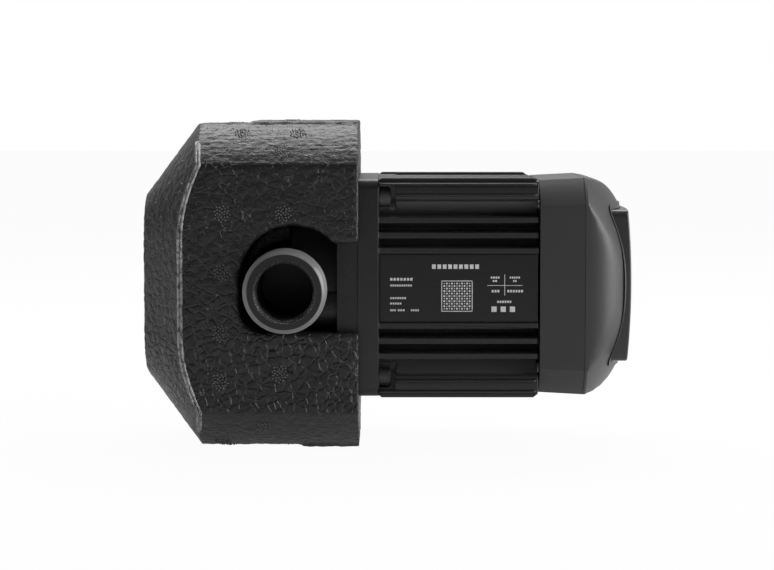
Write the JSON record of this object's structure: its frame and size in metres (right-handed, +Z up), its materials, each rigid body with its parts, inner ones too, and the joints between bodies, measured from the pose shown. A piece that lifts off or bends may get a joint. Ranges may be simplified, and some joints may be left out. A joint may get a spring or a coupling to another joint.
{
  "type": "circulation pump",
  "caption": "Wet-rotor circulation pump with in-line union ports, ribbed square motor, domed control box and a pushed-on foam insulation shell.",
  "frame": {"origin": "where the pipe axis crosses the shaft axis, half way between the two union faces", "axes": "+X along the shaft from the pump end towards the control box, +Y along the pipe from the delivery port towards the suction port, +Z up"},
  "size_m": [0.2012, 0.13, 0.1342],
  "materials": {
    "shell_foam": "beaded expanded foam",
    "casing_iron": "black coated casting",
    "housing_metal": "satin black paint on a ribbed casting",
    "box_plastic": "fine grained dark grey plastic",
    "panel_plastic": "satin dark grey plastic",
    "plate_foil": "black printed foil",
    "screw_steel": "black oxide",
    "bright_steel": "turned or pressed stainless steel",
    "core_steel": "stacked laminations",
    "aluminium": "cast and machined",
    "seal_rubber": "moulded rubber",
    "bearing_ceramic": "ground ceramic",
    "magnet": "sintered magnet",
    "winding_copper": "enamelled copper wire",
    "bobbin_plastic": "moulded plastic",
    "impeller_plastic": "glass filled plastic",
    "lead_jacket": "insulated wire",
    "board_green": "solder mask",
    "part_black": "moulded electronic part",
    "can_blue": "sleeved can",
    "pad_grey": "soft heat pad",
    "contact_brass": "plated contact",
    "lens_green": "clear green light guide",
    "button_plastic": "satin black plastic"
  },
  "bodies": {
    "pump": {"pump_casing": "casing_iron", "port_pipe": "casing_iron", "wear_ring": "bright_steel", "casing_gasket": "seal_rubber", "bearing_plate": "bright_steel", "front_bearing": "bearing_ceramic", "rear_bearing": "bearing_ceramic", "rear_bearing_carrier": "bright_steel", "rotor_can": "bright_steel", "can_seal": "seal_rubber", "motor_housing": "housing_metal", "housing_end_plate": "aluminium", "stator_core": "core_steel", "coil_bobbins": "bobbin_plastic", "stator_coils": "winding_copper", "motor_leads": "lead_jacket", "lead_grommet": "seal_rubber", "flange_screws": "screw_steel", "name_plate": "plate_foil", "box_base": "box_plastic", "base_screws": "bright_steel", "box_gasket": "seal_rubber", "box_cover": "box_plastic", "front_panel": "panel_plastic", "indicator_lenses": "lens_green", "indicator_lights": "bobbin_plastic", "control_board": "board_green", "display_board": "board_green", "board_link": "part_black", "board_screws": "bright_steel", "button_switch": "part_black", "capacitor": "can_blue", "filter_choke": "winding_copper", "choke_core": "magnet", "power_module": "part_black", "heat_pad": "pad_grey", "power_inlet": "part_black", "inlet_pins": "contact_brass"},
    "rotor": {"shaft": "bearing_ceramic", "rotor_core": "core_steel", "rotor_magnets": "magnet", "rotor_sleeve": "bright_steel", "rotor_end_rings": "bright_steel", "impeller": "impeller_plastic", "impeller_shroud": "impeller_plastic", "impeller_collar": "bright_steel", "thrust_ring": "magnet", "thrust_ring_holder": "seal_rubber"},
    "shell": {"insulation_shell": "shell_foam"},
    "button": {"button_cap": "button_plastic", "switch_plunger": "part_black"}
  },
  "joints": [
    {"name": "rotor_spin", "type": "hinge", "parent": "pump", "child": "rotor", "pos_m": [0, 0, 0], "axis": [1, 0, 0], "continuous": true},
    {"name": "shell_pull", "type": "slide", "parent": "pump", "child": "shell", "axis": [-1, 0, 0], "range_m": [0, 0.06]},
    {"name": "button_push", "type": "slide", "parent": "pump", "child": "button", "axis": [-1, 0, 0], "range_m": [0, 0.0007], "stiffness_N_per_m": 2000, "springref_m": -0.0003}
  ]
}
